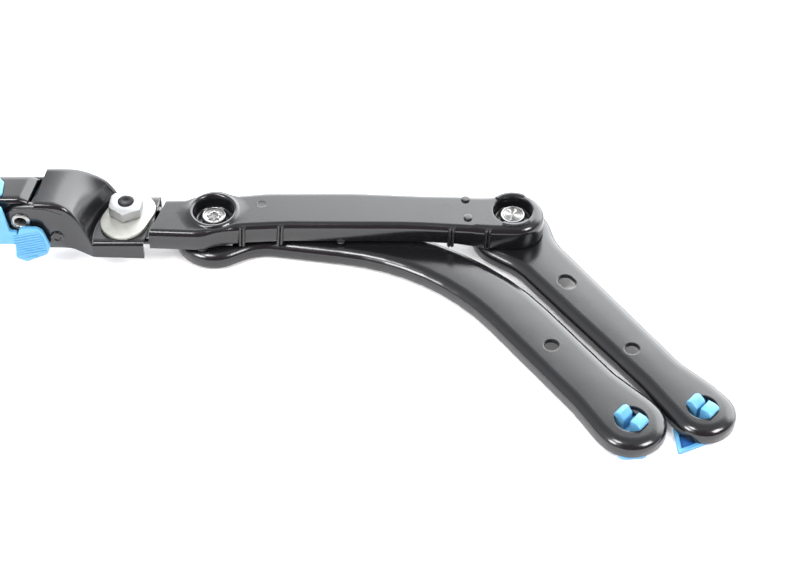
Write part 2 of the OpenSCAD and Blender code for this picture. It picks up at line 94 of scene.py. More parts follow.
def rounded(corners, steps=8):
    """Closed outline through corners (x, y, radius), counter-clockwise."""
    points = []
    for (x, y, radius), heading, turn in bends(corners):
        side = -1 if turn < 0 else 1
        back = radius * math.tan(abs(turn) / 2)
        cx = x - back * math.cos(heading) - side * radius * math.sin(heading)
        cy = y - back * math.sin(heading) + side * radius * math.cos(heading)
        for k in range(steps + 1):
            h = heading + turn * k / steps
            points.append((cx + side * radius * math.sin(h), cy - side * radius * math.cos(h)))
    return points


def rectangle(x0, y0, x1, y1, radius):
    return rounded([(x0, y0, radius), (x1, y0, radius), (x1, y1, radius), (x0, y1, radius)])


def inset(corners, d):
    """The same corners moved inwards by d; every side keeps its direction."""
    out = []
    for (x, y, radius), heading, turn in bends(corners):
        k = d / math.cos(turn / 2)
        m = heading + turn / 2 + math.pi / 2
        smaller = radius - d if turn > 0 else radius + d
        out.append((x + k * math.cos(m), y + k * math.sin(m), max(smaller, 0.2)))
    return out


def resample(points, spacing):
    """The same closed outline with evenly spaced points."""
    pts = [Vector(p) for p in points]
    lengths = [(pts[(i + 1) % len(pts)] - pts[i]).length for i in range(len(pts))]
    total = sum(lengths)
    count = max(12, int(total / spacing))
    out = []
    i = 0
    start = 0.0
    for k in range(count):
        target = total * k / count
        while start + lengths[i] < target - 1e-9:
            start += lengths[i]
            i += 1
        t = (target - start) / lengths[i] if lengths[i] > 1e-9 else 0
        out.append(pts[i].lerp(pts[(i + 1) % len(pts)], t))
    return out


def inward_normals(loop):
    out = []
    n = len(loop)
    for i in range(n):
        d = (loop[(i + 1) % n] - loop[i - 1]).normalized()
        out.append(Vector((-d.y, d.x)))
    return out


def inside(p, loop):
    hit = False
    n = len(loop)
    for i in range(n):
        a, b = loop[i], loop[(i + 1) % n]
        if (a[1] > p[1]) != (b[1] > p[1]):
            if p[0] < (b[0] - a[0]) * (p[1] - a[1]) / (b[1] - a[1]) + a[0]:
                hit = not hit
    return hit


def clearance(p, loop):
    """Distance from p to the nearest edge of a closed loop."""
    best = 1e9
    n = len(loop)
    for i in range(n):
        a, b = Vector(loop[i]), Vector(loop[(i + 1) % n])
        ab = b - a
        t = max(0.0, min(1.0, (p - a).dot(ab) / max(ab.length_squared, 1e-12)))
        best = min(best, (a + ab * t - p).length)
    return best


def ray_reach(loop, centre, angle):
    """How far a ray from centre goes before it meets the loop."""
    d = Vector((math.cos(angle), math.sin(angle)))
    best = 1e9
    n = len(loop)
    for i in range(n):
        a, b = Vector(loop[i]) - centre, Vector(loop[(i + 1) % n]) - centre
        e = b - a
        den = d.x * e.y - d.y * e.x
        if abs(den) < 1e-12:
            continue
        t = (a.x * e.y - a.y * e.x) / den
        u = (a.x * d.y - a.y * d.x) / den
        if t > 0 and -1e-9 <= u <= 1 + 1e-9:
            best = min(best, t)
    return best


# ---- mesh building

def put_object(name, data):
    obj = bpy.data.objects.new(name, data)
    bpy.context.scene.collection.objects.link(obj)
    return obj


class Builder:
    """Collects points and faces in millimetres, then makes one object."""

    def __init__(self):
        self.points = []
        self.faces = []

    def add(self, points):
        start = len(self.points)
        self.points.extend(Vector(p) for p in points)
        return list(range(start, len(self.points)))

    def bridge(self, a, b, closed=True):
        n = len(a)
        for i in range(n if closed else n - 1):
            j = (i + 1) % n
            self.faces.append((a[i], a[j], b[j], b[i]))

    def cap(self, ring):
        self.faces.append(tuple(ring))

    def stack(self, rings, closed=True):
        """Bridges each ring to the next one."""
        for a, c in zip(rings, rings[1:]):
            self.bridge(a, c, closed)

    def tube(self, rings):
        """A stack that is capped at both ends."""
        self.stack(rings)
        self.cap(rings[0])
        self.cap(rings[-1])

    def fan(self, ring, centre):
        c = self.add([centre])[0]
        for i in range(len(ring)):
            self.faces.append((ring[i], ring[(i + 1) % len(ring)], c))

    def fill(self, outer, holes, z, grid=0):
        """Flat face at height z between an outer ring and hole rings, given as index rings."""
        rings = [outer] + holes
        flat = []
        back = []
        edges = []
        for ring in rings:
            start = len(flat)
            for k, i in enumerate(ring):
                flat.append(self.points[i].xy.copy())
                back.append(i)
                edges.append((start + k, start + (k + 1) % len(ring)))
        loops = [[self.points[i].xy for i in ring] for ring in rings]
        if grid:
            xs = [p.x for p in loops[0]]
            ys = [p.y for p in loops[0]]
            nx = int((max(xs) - min(xs)) / grid)
            ny = int((max(ys) - min(ys)) / grid)
            for ix in range(1, nx):
                for iy in range(1, ny):
                    p = Vector((min(xs) + grid * (ix + 0.5 * (iy % 2)), min(ys) + grid * iy))
                    if not inside(p, loops[0]) or any(inside(p, h) for h in loops[1:]):
                        continue
                    if min(clearance(p, h) for h in loops) > 0.6 * grid:
                        back.append(self.add([(p.x, p.y, z)])[0])
                        flat.append(p)
        cdt = delaunay_2d_cdt(flat, edges, [], 1, 1e-7)
        verts, tris, origin = cdt[0], cdt[2], cdt[3]
        for tri in tris:
            c = sum((verts[i] for i in tri), Vector((0, 0))) / len(tri)
            if not inside(c, loops[0]) or any(inside(c, h) for h in loops[1:]):
                continue
            self.faces.append(tuple(back[origin[i][0]] for i in tri))

    def move(self, matrix):
        self.points = [matrix @ p for p in self.points]
        return self

    def join(self, other):
        start = len(self.points)
        self.points += other.points
        self.faces += [tuple(i + start for i in f) for f in other.faces]
        return self

    def cut(self, point, normal):
        """Takes away the side that normal points to, and closes the cut."""
        bm = self.bmesh()
        geom = bm.verts[:] + bm.edges[:] + bm.faces[:]
        res = bmesh.ops.bisect_plane(bm, geom=geom, plane_co=point, plane_no=normal, clear_outer=True)
        edges = [e for e in res["geom_cut"] if isinstance(e, bmesh.types.BMEdge)]
        bmesh.ops.triangle_fill(bm, edges=edges, use_beauty=True)
        self.take(bm)
        return self

    def bmesh(self):
        bm = bmesh.new()
        verts = [bm.verts.new(p) for p in self.points]
        for f in self.faces:
            if len(set(f)) > 2:
                bm.faces.new([verts[i] for i in dict.fromkeys(f)])
        return bm

    def take(self, bm):
        bm.verts.index_update()
        self.points = [v.co.copy() for v in bm.verts]
        self.faces = [tuple(v.index for v in f.verts) for f in bm.faces]
        bm.free()

    def make(self, name, body, slot, material, replaces=(), sharp=38, weld=0.0005):
        bm = self.bmesh()
        bmesh.ops.remove_doubles(bm, verts=bm.verts[:], dist=weld)
        bmesh.ops.recalc_face_normals(bm, faces=bm.faces[:])
        bmesh.ops.scale(bm, vec=(MM, MM, MM), verts=bm.verts[:])
        mesh = bpy.data.meshes.new(name)
        bm.to_mesh(mesh)
        bm.free()
        for p in mesh.polygons:
            p.use_smooth = True
        mesh.set_sharp_from_angle(angle=math.radians(sharp))
        obj = put_object(name, mesh)
        mesh.materials.append(material)
        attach(obj, body)
        if replaces:
            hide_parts(*replaces)
        return obj


def polar(centre, radii, z):
    """A ring of points at height z, evenly spaced round centre at the given radii."""
    step = math.tau / len(radii)
    return [(centre[0] + r * math.cos(step * k), centre[1] + r * math.sin(step * k), z)
            for k, r in enumerate(radii)]


def round_hole(centre, radius, profile, count=48):
    """Rings of a round hole: profile lists (offset from the radius, height) from top to underside."""
    return [polar(centre, [radius + o] * count, z) for o, z in profile]


def turned(centre, x, y, angle):
    """The place x, y along axes that are turned by angle about centre."""
    return (centre.x + x * math.cos(angle) - y * math.sin(angle),
            centre.y + x * math.sin(angle) + y * math.cos(angle))


def slot_hole(centre, length, width, angle, profile, count=24):
    rings = []
    for o, z in profile:
        r = width / 2 + o
        half = (length - width) / 2
        ring = []
        for k in range(count):
            a = math.tau * k / count + math.tau / count / 2
            x = half * (1 if math.cos(a) > 0 else -1) + r * math.cos(a)
            y = r * math.sin(a)
            ring.append((*turned(centre, x, y, angle), z))
        rings.append(ring)
    return rings


# A rolled edge, as shares of its size: distance inwards and height, from the face to the side.
ROLLED = ((1.0, 0.0), (0.3, 0.3), (0.0, 1.0))
PAN_GRID = 4.0


def pan(outline, fold, base, top, sheet, holes, stretch=1.0):
    """A pressed pan: wall, rolled top edge and flat top with holes.
    fold(p) is the outer fold radius and base(p) the wall's lower edge at a point of the outline.
    stretch widens the fold into a flatter shoulder."""
    b = Builder()
    lip = 0.35
    loop = resample(outline, 1.3)
    inward = inward_normals(loop)
    radii = [fold(p) for p in loop]
    lows = [base(p) for p in loop]

    def ring(distance, height):
        return b.add([(p.x + n.x * distance(r), p.y + n.y * distance(r), height(r, low))
                      for p, n, r, low in zip(loop, inward, radii, lows)])

    arc = [math.radians(a) for a in (0, 12, 26, 40, 54, 68, 80, 90)]
    outer = [ring(lambda r: lip * d, lambda r, low: low + lip * h) for d, h in ROLLED]
    for a in arc:
        outer.append(ring(lambda r: stretch * r * (1 - math.cos(a)),
                          lambda r, low: top - r + r * math.sin(a)))
    outer.append(ring(lambda r: stretch * r + 0.45, lambda r, low: top))
    inner = [ring(lambda r: sheet - lip * d, lambda r, low: low + lip * h) for d, h in ROLLED]
    under = top - sheet
    for a in arc[::2] + [math.pi / 2]:
        inner.append(ring(lambda r: sheet + stretch * max(r - sheet, 0.3) * (1 - math.cos(a)),
                          lambda r, low: under + max(r - sheet, 0.3) * (math.sin(a) - 1)))
    inner.append(ring(lambda r: sheet + stretch * max(r - sheet, 0.3) + 0.1, lambda r, low: under))
    b.stack(outer)
    b.stack(inner)
    b.bridge(outer[0], inner[0])
    tops = []
    bottoms = []
    for hole in holes:
        rings = hole(b, outer[-1], inner[-1])
        b.stack(rings)
        tops.append(rings[0])
        bottoms.append(rings[-1])
    b.fill(outer[-1], tops, top, PAN_GRID)
    b.fill(inner[-1], bottoms, under, 0)
    return b


def crown(b, outline, top, sheet, width, depth):
    """Lowers the top sheet towards its outline, so that it is slightly domed."""
    loop = [Vector(p) for p in resample(outline, 4)]
    under = top - sheet
    for p in b.points:
        if p.z > under + 0.01:
            near = max(0.0, 1 - clearance(p.xy, loop) / width)
            p.z -= depth * near * near * min(1.0, (p.z - under) / sheet)


def plain(rings):
    """A hole given as finished rings, for pan()."""
    return lambda b, top_ring, under_ring: [b.add(r) for r in rings]


def punched(top, sheet, edge=0.3):
    """Profile of a punched hole with rolled edges."""
    return [(edge + 0.4, top), (edge, top), (edge * 0.35, top - edge * 0.25), (0, top - edge),
            (0, top - sheet + edge * 0.6), (edge * 0.6, top - sheet), (edge * 0.6 + 0.4, top - sheet)]


def revolve(profile, centre=(0, 0), count=64):
    """Closed solid of revolution about Z. profile lists (radius, height) from the outside bottom
    to the top centre or inner edge; a profile that ends at radius 0 is closed with a fan."""
    b = Builder()
    rings = []
    for r, z in profile:
        if r > 0:
            rings.append(b.add(polar(centre, [r] * count, z)))
    b.stack(rings)
    if profile[0][0] == 0:
        b.fan(rings[0], (centre[0], centre[1], profile[0][1]))
    if profile[-1][0] == 0:
        b.fan(rings[-1], (centre[0], centre[1], profile[-1][1]))
    if profile[0][0] > 0 and profile[-1][0] > 0:
        b.bridge(rings[-1], rings[0])
    return b


def prism(outline, z0, z1, bevel=0.4, spacing=1.5, holes=()):
    """A plate with rolled edges; holes are (centre, radius)."""
    b = Builder()
    loop = resample(outline, spacing)
    inward = [n * bevel for n in inward_normals(loop)]
    levels = [(d, z0 + bevel * h) for d, h in ROLLED] + [(d, z1 - bevel * h) for d, h in ROLLED[::-1]]
    rings = [b.add([(*(p + n * d), z) for p, n in zip(loop, inward)]) for d, z in levels]
    b.stack(rings)
    tops = []
    bottoms = []
    for centre, radius in holes:
        e = bevel * 0.6
        hole = [b.add(r) for r in round_hole(centre, radius, [(e, z1), (0, z1 - e), (0, z0 + e), (e, z0)])]
        b.stack(hole)
        tops.append(hole[0])
        bottoms.append(hole[-1])
    b.fill(rings[-1], tops, z1)
    b.fill(rings[0], bottoms, z0)
    return b


# ---- materials

def node_material(name):
    mat = bpy.data.materials.new(name)
    mat.use_nodes = True
    tree = mat.node_tree
    shader = tree.nodes["Principled BSDF"]
    return mat, tree, shader


def feed(tree, node, sockets):
    """Sets each named socket, to a constant or to another node's output."""
    for name, value in sockets.items():
        if isinstance(value, bpy.types.NodeSocket):
            tree.links.new(value, node.inputs[name])
        else:
            node.inputs[name].default_value = value


def add_node(tree, kind, sockets):
    node = tree.nodes.new(kind)
    feed(tree, node, sockets)
    return node


def noise(tree, coords, scale, detail=3.0, rough=0.5, stretch=None):
    if stretch:
        mapping = add_node(tree, "ShaderNodeMapping", {"Scale": stretch, "Vector": coords})
        coords = mapping.outputs["Vector"]
    return add_node(tree, "ShaderNodeTexNoise", {
        "Scale": scale, "Detail": detail, "Roughness": rough, "Vector": coords}).outputs["Fac"]


def ramp(tree, value, stops):
    node = tree.nodes.new("ShaderNodeValToRGB")
    node.color_ramp.elements[0].position = stops[0][0]
    node.color_ramp.elements[0].color = (*stops[0][1], 1)
    node.color_ramp.elements[1].position = stops[-1][0]
    node.color_ramp.elements[1].color = (*stops[-1][1], 1)
    for place, colour in stops[1:-1]:
        node.color_ramp.elements.new(place).color = (*colour, 1)
    tree.links.new(value, node.inputs["Fac"])
    return node.outputs["Color"]


def spread(tree, value, low, high, start=0.0, end=1.0):
    """Maps start..end to low..high."""
    return add_node(tree, "ShaderNodeMapRange", {
        "From Min": start, "From Max": end, "To Min": low, "To Max": high, "Value": value}).outputs["Result"]


def bump(tree, heights, strength, distance):
    """Chains one bump node per height."""
    chain = {}
    for height, part in heights:
        node = add_node(tree, "ShaderNodeBump", {
            "Strength": strength * part, "Distance": distance, "Height": height, **chain})
        chain = {"Normal": node.outputs["Normal"]}
    return node.outputs["Normal"]


def object_coords(tree):
    return tree.nodes.new("ShaderNodeTexCoord").outputs["Object"]


def black_coat():
    mat, tree, shader = node_material("black_coat_paint")
    co = object_coords(tree)
    cloud = noise(tree, co, 55, 3, 0.55)
    peel = noise(tree, co, 900, 2, 0.5)
    dust = noise(tree, co, 2600, 2, 0.7)
    scratch = noise(tree, co, 300, 4, 0.75, (1, 14, 14))
    colour = ramp(tree, dust, [(0.0, (0.0055, 0.0057, 0.0068)), (0.66, (0.007, 0.0073, 0.0085)),
                               (0.8, (0.024, 0.025, 0.026))])
    mixed = add_node(tree, "ShaderNodeMix", {
        "Factor": 0.35, "A": spread(tree, cloud, 0.15, 0.22, 0.3, 0.7),
        "B": spread(tree, scratch, 0.14, 0.3, 0.35, 0.75)})
    feed(tree, shader, {"Base Color": colour, "Roughness": mixed.outputs["Result"], "IOR": 1.56,
                        "Normal": bump(tree, [(peel, 1.0), (dust, 0.35)], 0.06, 0.0002)})
    return mat


def metal(name, dark, light, rough, stretch=None, grain=700.0, spots=None):
    """Plated or plain steel: cloudy colour, grain and fine pits."""
    mat, tree, shader = node_material(name)
    co = object_coords(tree)
    cloud = noise(tree, co, 140, 4, 0.6)
    fine = noise(tree, co, grain, 3, 0.65, stretch)
    pits = noise(tree, co, 2200, 2, 0.6)
    stops = [(0.3, dark), (0.7, light)]
    if spots:
        stops = [(0.2, spots), (0.36, dark), (0.7, light)]
    feed(tree, shader, {"Base Color": ramp(tree, cloud, stops), "Metallic": 1.0,
                        "Roughness": spread(tree, fine, rough[0], rough[1], 0.3, 0.7),
                        "Normal": bump(tree, [(fine, 1.0), (pits, 0.5)], 0.12, 0.00015)})
    return mat


def blue_plastic(name, dark, light):
    mat, tree, shader = node_material(name)
    co = object_coords(tree)
    cloud = noise(tree, co, 80, 3, 0.5)
    grain = noise(tree, co, 1800, 2, 0.6)
    feed(tree, shader, {"Base Color": ramp(tree, cloud, [(0.3, dark), (0.7, light)]),
                        "Roughness": spread(tree, cloud, 0.34, 0.44, 0.3, 0.7),
                        "Subsurface Weight": 0.15, "Subsurface Radius": (0.2, 0.6, 1.0),
                        "Subsurface Scale": 0.002, "Normal": bump(tree, [(grain, 1.0)], 0.1, 0.0002)})
    return mat


def pale_floor():
    mat, tree, shader = node_material("pale_floor")
    cloud = noise(tree, object_coords(tree), 3, 2, 0.5)
    feed(tree, shader, {"Base Color": ramp(tree, cloud, [(0.0, (0.9, 0.9, 0.9)), (1.0, (0.93, 0.93, 0.93))]),
                        "Roughness": 0.9, "Specular IOR Level": 0.1,
                        "Emission Color": (1, 1, 1, 1), "Emission Strength": 0.12})
    return mat


COAT = black_coat()
ZINC = metal("zinc_plated_steel", (0.4, 0.41, 0.38), (0.5, 0.5, 0.47), (0.5, 0.62), grain=900.0)
NUT_ZINC = metal("bright_zinc_nut", (0.35, 0.35, 0.36), (0.43, 0.44, 0.44), (0.46, 0.6), grain=900.0)
PIN = metal("turned_pin_steel", (0.2, 0.2, 0.2), (0.42, 0.42, 0.41), (0.22, 0.38), grain=1500.0)
BRIGHT = metal("polished_pin_edge", (0.36, 0.36, 0.37), (0.52, 0.52, 0.53), (0.25, 0.4), grain=1500.0)
RAW = metal("plain_steel", (0.16, 0.16, 0.16), (0.3, 0.3, 0.29), (0.35, 0.5), (1, 8, 8),
            spots=(0.12, 0.1, 0.08))
DARK = metal("phosphated_steel", (0.015, 0.015, 0.017), (0.035, 0.035, 0.037), (0.4, 0.6))
BRONZE = metal("sintered_bronze", (0.4, 0.29, 0.14), (0.62, 0.47, 0.25), (0.35, 0.55),
               spots=(0.16, 0.11, 0.06))
BLUE = blue_plastic("blue_moulded_plastic", (0.088, 0.295, 0.5), (0.103, 0.33, 0.55))
# Painted shade: a darker copy of the blue plastic, standing in for the shade that falls inside the trays
# under the links.
PAINTED_SHADE_BLUE = blue_plastic("painted_shade_blue_plastic", (0.008, 0.07, 0.24), (0.012, 0.09, 0.29))
FLOOR = pale_floor()


# ---- pressed channel and links

AT_PIVOTS = Matrix.Translation((REACH, OFFSET, 0))
AT_ARM = Matrix.Translation((REACH, 0, 0))
PIVOT_A = Vector((0, 0))
PIVOT_B = REAR - FRONT
SPAN = PIVOT_B.x

FRONT_LINK = [
    (-19.5, -19.5, 19.4), (4.9, -19.5, 19.4), (22.3, -10.2, 22), (109.5, -23.8, 110),
    (174.4, -114.5, 25), (184.5, -131.9, 20), (197.6, -149.4, 17), (225, -129.2, 17),
    (212.3, -112, 20), (196, -95, 25), (131.4, -4.4, 146), (26, 13.6, 25),
    (10, 19.5, 19), (-19.5, 19.5, 19.4)]
REAR_LINK = [
    (129.6, -10.1, 20.3), (151.7, -25.6, 40), (208.3, -103, 60), (220.6, -123, 30),
    (231.4, -140.9, 14.8), (257.8, -122.1, 14.8), (241.8, -101.6, 20),
    (228, -87.8, 25), (172.3, -6.1, 30), (166.6, 20.9, 20.3), (129.6, 20.9, 20.3)]
# The channel's left end runs on past its slanted edge and is cut off below.
CHANNEL = [
    (-45, -15.7, 5), (-7, -17.4, 16), (13, -12.4, 30), (34, -11, 200),
    (100, -11.3, 300), (140, -14.4, 60), (SPAN + 15.8, -15.2, 14.2),
    (SPAN + 15.8, 13.6, 13.2), (136, 11.6, 60), (104, 12.4, 300),
    (70, 14.4, 300), (26, 14.2, 60), (8, 12, 3), (0, 16.9, 12), (-10, 9.6, 3), (-45, 9.0, 5)]
END_FRONT = Vector((-31.4, -16.3, 0))
END_BACK = Vector((-23.6, 9.2, 0))
FRONT_PEG = Vector((201.2, -125.6))
REAR_PEG = Vector((235.2, -118.3))
FRONT_PEG_R = 7.5
REAR_PEG_R = 7.0
LINK_HOLE_R = 3.5
BUSH_R = 5.55


def clipped_cup(centre, upper, lower, count=72):
    """A cup pressed down through a pan. Rings stay inside the pan's flat top and underside."""
    def make(b, top_ring, under_ring):
        rings = []
        for profile, ring, gap in ((upper, top_ring, 0.15), (lower, under_ring, 0.2)):
            loop = [b.points[i].xy for i in ring]
            reach = [ray_reach(loop, centre, math.tau * k / count) - gap for k in range(count)]
            for r, z in profile:
                rings.append(b.add(polar(centre, [min(r, far) for far in reach], z)))
        return rings
    return make


def arc_lip(centre, r_in, r_out, start, end, z0, z1, count=26):
    """A raised lip along part of a circle, square at its ends."""
    b = Builder()
    e = 0.35
    section = [(r_in, z0), (r_in, z1 - e), (r_in + e * 0.3, z1 - e * 0.3), (r_in + e, z1),
               (r_out - e, z1), (r_out - e * 0.3, z1 - e * 0.3), (r_out, z1 - e), (r_out, z0)]
    rings = []
    for k in range(count + 1):
        a = start + (end - start) * k / count
        rings.append(b.add([(centre.x + r * math.cos(a), centre.y + r * math.sin(a), z) for r, z in section]))
    b.tube(rings)
    return b


def rib(centre, along, out, up, half_length, half_width, height, sink=0.5, rows=25, cols=11):
    """A round-ended rib that swells out of a wall: length runs along up, width along along."""
    b = Builder()
    grid = []
    for i in range(rows):
        t = -math.cos(math.pi * i / (rows - 1))
        past = max(0.0, (abs(t) * half_length - (half_length - half_width)) / half_width)
        row = []
        for j in range(cols):
            side = -math.cos(math.pi * j / (cols - 1))
            swell = height * math.sqrt(max(0.0, 1 - side * side - past * past))
            p = centre + up * (half_length * t) + along * (half_width * side) + out * (swell - sink)
            row.append(b.add([p])[0])
        grid.append(row)
    b.stack(grid, closed=False)
    rim = grid[0] + [r[-1] for r in grid[1:]] + grid[-1][-2::-1] + [r[0] for r in grid[-2:0:-1]]
    b.cap(rim)
    return b


def channel_fold(p):
    near_a = (p - PIVOT_A).length
    near_b = (p - PIVOT_B).length
    if near_a < 20:
        return max(0.8, min(3.2, near_a - 13.6))
    if near_b < 24:
        return max(0.8, min(3.9, near_b - 11))
    return 3.2


def channel_base(p):
    """The flange hangs lower round the rear cup."""
    t = max(0.0, min(1.0, (p.x - 118) / 20))
    return CHANNEL_SKIRT + 0.3 - 2.0 * t * t * (3 - 2 * t)


def channel_shell():
    top = CHANNEL_TOP
    rim = [(13.5, top), (13.1, top + 0.12), (12.6, top + 0.55), (12.2, top + 0.9), (11.7, top + 1.02),
           (11.1, top + 0.95), (10.6, top + 0.65), (10.2, top + 0.1), (10.0, top - 0.8),
           (9.9, 18.2), (9.6, 17.2), (8.9, 16.6), (8.2, CUP_FLOOR)]
    plain_rim = [(10.8, top), (10.35, top), (10.05, top - 0.12), (9.85, top - 0.45), (9.75, top - 1.0),
                 (9.65, 18.2), (9.4, 17.2), (8.8, 16.6), (8.2, CUP_FLOOR)]
    roof = top - CHANNEL_SHEET
    under = [(4.02, CUP_FLOOR), (4.02, 14.0), (10.6, 14.0), (11.4, 14.3), (12.0, 15.2),
             (12.2, roof - 1.2), (12.6, roof - 0.4), (13.4, roof)]
    b = pan(rounded(CHANNEL), channel_fold, channel_base, top, CHANNEL_SHEET,
            [clipped_cup(PIVOT_A, rim, under), clipped_cup(PIVOT_B, plain_rim, under)])
    edge = (END_BACK - END_FRONT).normalized()
    b.cut(END_FRONT, Vector((-edge.y, edge.x, 0)))
    for mid in (90, -90):
        half = 38 if mid > 0 else 36
        turn = 6 if mid > 0 else 8
        b.join(arc_lip(PIVOT_B, 10.0, 12.3, math.radians(mid + turn - half), math.radians(mid + turn + half),
                       22.2, top + 0.8))
    for x, y in ((14.5, -12.2), (33.5, -10.95), (119, -12.7), (137, -14.0)):
        for side in (-1, 1):
            b.join(rib(Vector((x + side * 0.8, y + 0.1, 17.4)), Vector((1, 0, 0)), Vector((0, -1, 0)),
                       Vector((0.06, 0.12, 1)), 5.9, 1.0, 2.1))
    b.join(revolve([(0, 22.8), (2.6, 22.8), (2.6, top + 0.02), (2.45, top + 0.1), (2.3, top + 0.02),
                    (2.0, top + 0.01), (0, top + 0.01)], (24, 4.6), 32))
    return b.move(AT_PIVOTS).make("channel_shell", "arm", "black_coat", COAT, ["channel_arm"])


def link_shell(name, node, corners, pivot, holes, extra=()):
    def fold(p):
        room = min((p - centre).length - radius - 1.5 for centre, radius in holes) / LINK_SHOULDER
        return max(2.2, min(4.2, (p - pivot).length - 12, room))

    made = [plain(round_hole(pivot, BUSH_R, punched(LINK_TOP, LINK_SHEET)))]
    for centre, radius in holes:
        made.append(plain(round_hole(centre, radius, punched(LINK_TOP, LINK_SHEET, 0.35))))
    made += extra
    b = pan(rounded(corners), fold, lambda p: LINK_BOTTOM, LINK_TOP, LINK_SHEET, made,
            stretch=LINK_SHOULDER)
    crown(b, rounded(corners), LINK_TOP, LINK_SHEET, 13.0, 0.38)
    return b.move(AT_PIVOTS).make(name, node, "black_coat", COAT, [node])


def links():
    link_shell("front_link_shell", "front_link", FRONT_LINK, PIVOT_A,
               [(Vector((166.2, -79)), LINK_HOLE_R), (FRONT_PEG, FRONT_PEG_R)])
    slot = slot_hole(Vector((175.9, -36.7)), 9.8, 7.6, math.radians(-54.5),
                     punched(LINK_TOP, LINK_SHEET, 0.35), 32)
    link_shell("rear_link_shell", "rear_link", REAR_LINK, PIVOT_B,
               [(Vector((204.8, -81.3)), LINK_HOLE_R), (REAR_PEG, REAR_PEG_R)], [plain(slot)])


# ---- rivets, nut, washer, pins

RIVET_R = 4.0
HEAD_TOP = CUP_FLOOR + 4.0


def rivet_shank():
    return [(0, 0), (4.9, 0), (5.4, 0.4), (5.5, 1.0), (5.4, 2.1), (5.0, 2.5), (RIVET_R, 2.5),
            (RIVET_R, CUP_FLOOR), (5.6, CUP_FLOOR), (6.0, CUP_FLOOR + 0.4)]


def star_rivet():
    """Front rivet: a rimmed head with a raised star round a hexagonal hole."""
    z = HEAD_TOP
    head = rivet_shank() + [(6.0, z - 0.5), (5.8, z - 0.12), (5.45, z), (5.15, z - 0.15), (5.0, z - 0.6),
                            (4.3, z - 0.75), (3.0, z - 0.7), (2.6, z - 0.9), (2.6, z - 2.4), (0, z - 2.4)]
    b = revolve(head, PIVOT_A, 72)
    count = 96
    rings = []
    turns = [math.tau * k / count for k in range(count)]
    star = [3.25 + 0.42 * math.cos(8 * a) for a in turns]
    hexagon = [2.12 / math.cos(math.remainder(a, math.tau / 6)) for a in turns]
    for shape, scale, depth in ((star, 1.0, 0.9), (star, 1.0, 0.35), (star, 0.94, 0.08), (star, 0.86, 0.0),
                                (hexagon, 1.06, 0.0), (hexagon, 1.0, 0.15), (hexagon, 1.0, 2.4)):
        rings.append(b.add(polar(PIVOT_A, [r * scale for r in shape], z - depth)))
    b.stack(rings)
    b.bridge(rings[-1], rings[0])
    return b.move(AT_PIVOTS).make("front_rivet", "arm", "pin_steel", PIN, ["front_pivot_rivet"])


def turned_rivet():
    """Rear rivet: a head faced off in rings."""
    z = HEAD_TOP
    head = rivet_shank() + [(6.0, z - 0.5), (5.85, z - 0.1), (5.5, z), (5.2, z - 0.1), (5.05, z - 0.55)]
    r = 4.6
    head.append((4.75, z - 0.6))
    while r > 0.9:
        head += [(r, z - 0.3), (r - 0.28, z - 0.18), (r - 0.62, z - 0.3), (r - 0.72, z - 0.42)]
        r -= 0.92
    head += [(0.5, z - 0.5), (0, z - 0.55)]
    return revolve(head, PIVOT_B, 72).move(AT_PIVOTS).make("rear_rivet", "arm", "pin_steel", PIN,
                                                           ["rear_pivot_rivet"])


CLAMP = Vector((-43.6, 0.6))
WASHER_AT = Vector((-42.7, -2.3))
WASHER_LENGTH = 33.0
WASHER_WIDTH = 23.5
WASHER_ANGLE = math.radians(68)
NUT_BASE = CLAMP_TOP + 2.2
NUT_TOP = NUT_BASE + 6.6
NUT_FLATS = 16.0
NUT_ANGLE = math.radians(24)
STUD_TOP = NUT_TOP + 0.5


def stadium(centre, length, width, angle, steps=20):
    points = []
    half = (length - width) / 2
    for end in (0, 1):
        for k in range(steps + 1):
            a = -math.pi / 2 + math.pi * k / steps + math.pi * end
            x = (half if end == 0 else -half) + width / 2 * math.cos(a)
            y = width / 2 * math.sin(a)
            points.append(turned(centre, x, y, angle))
    return points


def oval_washer():
    outline = stadium(WASHER_AT, WASHER_LENGTH, WASHER_WIDTH, WASHER_ANGLE)
    prism(outline, CLAMP_TOP, NUT_BASE, 0.5, 1.0, [(CLAMP, 5.3)]).move(AT_PIVOTS).make(
        "oval_washer", "saddle", "zinc_plate", ZINC, ["clamp_washer"])


def hex_nut():
    """Each level of the hexagon is trimmed to a circle, which makes the chamfers."""
    count = 96
    half = NUT_FLATS / 2
    corner = half / math.cos(math.pi / 6)
    b = Builder()
    rings = []
    levels = [(4.6, NUT_BASE), (7.4, NUT_BASE), (7.8, NUT_BASE + 0.15), (corner + 0.1, NUT_BASE + 0.75),
              (corner + 0.1, NUT_TOP - 1.0), (8.6, NUT_TOP - 0.62), (7.9, NUT_TOP - 0.4),
              (7.2, NUT_TOP - 0.2), (6.4, NUT_TOP), (5.2, NUT_TOP + 0.05), (4.4, NUT_TOP + 0.1),
              (4.05, NUT_TOP - 0.05), (3.95, NUT_TOP - 0.5), (4.6, NUT_TOP - 1.2)]
    hexagon = [half / math.cos(math.remainder(math.tau * k / count - NUT_ANGLE - math.pi / 6, math.pi / 3))
               for k in range(count)]
    for limit, z in levels:
        rings.append(b.add(polar(CLAMP, [min(r - 0.06 * (r - half) ** 2, limit) for r in hexagon], z)))
    b.stack(rings)
    b.bridge(rings[-1], rings[0])
    b.move(AT_PIVOTS).make("clamp_nut_body", "saddle", "zinc_plate", NUT_ZINC, ["clamp_nut"], sharp=24)


